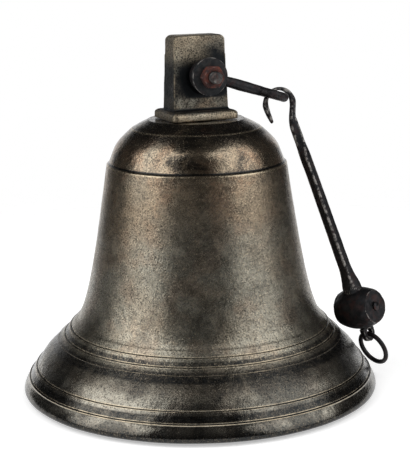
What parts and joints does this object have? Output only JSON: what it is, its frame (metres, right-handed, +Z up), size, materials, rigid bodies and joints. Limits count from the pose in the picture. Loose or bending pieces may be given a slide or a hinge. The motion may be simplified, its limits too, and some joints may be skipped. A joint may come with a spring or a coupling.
{
  "type": "hammer bell",
  "caption": "Cast bell with a lug on its crown that carries a pivoted arm, a hooked hammer resting against the flare, and a pull ring.",
  "frame": {"origin": "centre of the lip's lower edge, on the plane that the bell stands on", "axes": "+Z up along the bell's axis, +X towards the side that the arm reaches to, -Y along the bolt towards its nut"},
  "size_m": [0.3071, 0.302, 0.3015],
  "materials": {
    "bronze": "aged sand-cast bronze",
    "bronze_lug": "aged sand-cast bronze",
    "iron": "dark forged iron",
    "iron_head": "dark cast iron",
    "iron_nut": "rusty steel",
    "bolt_steel": "dull steel"
  },
  "bodies": {
    "bell": {"bell_body": "bronze", "crown_lug": "bronze_lug", "crown_washer": "iron", "crown_nut": "iron_nut", "pivot_bolt": "bolt_steel", "back_washer": "iron", "front_washer": "iron", "bolt_nut": "iron_nut"},
    "arm": {"striker_arm": "iron"},
    "hammer": {"hammer_shank": "iron", "hammer_head": "iron_head", "head_rivet": "bolt_steel"},
    "ring": {"pull_ring": "iron"}
  },
  "joints": [
    {"name": "arm_pivot", "type": "hinge", "parent": "bell", "child": "arm", "pos_m": [0.0032, -0.0159, 0.2685], "axis": [0, -1, 0], "range_deg": [0, 30]},
    {"name": "hammer_swing", "type": "hinge", "parent": "arm", "child": "hammer", "pos_m": [0.07229, -0.0159, 0.24685], "axis": [0, -1, 0], "range_deg": [0, 35]},
    {"name": "ring_swing", "type": "hinge", "parent": "hammer", "child": "ring", "pos_m": [0.14247, -0.04096, 0.03839], "axis": [0.1957, -0.9641, 0.1797], "range_deg": [0, 60]}
  ]
}
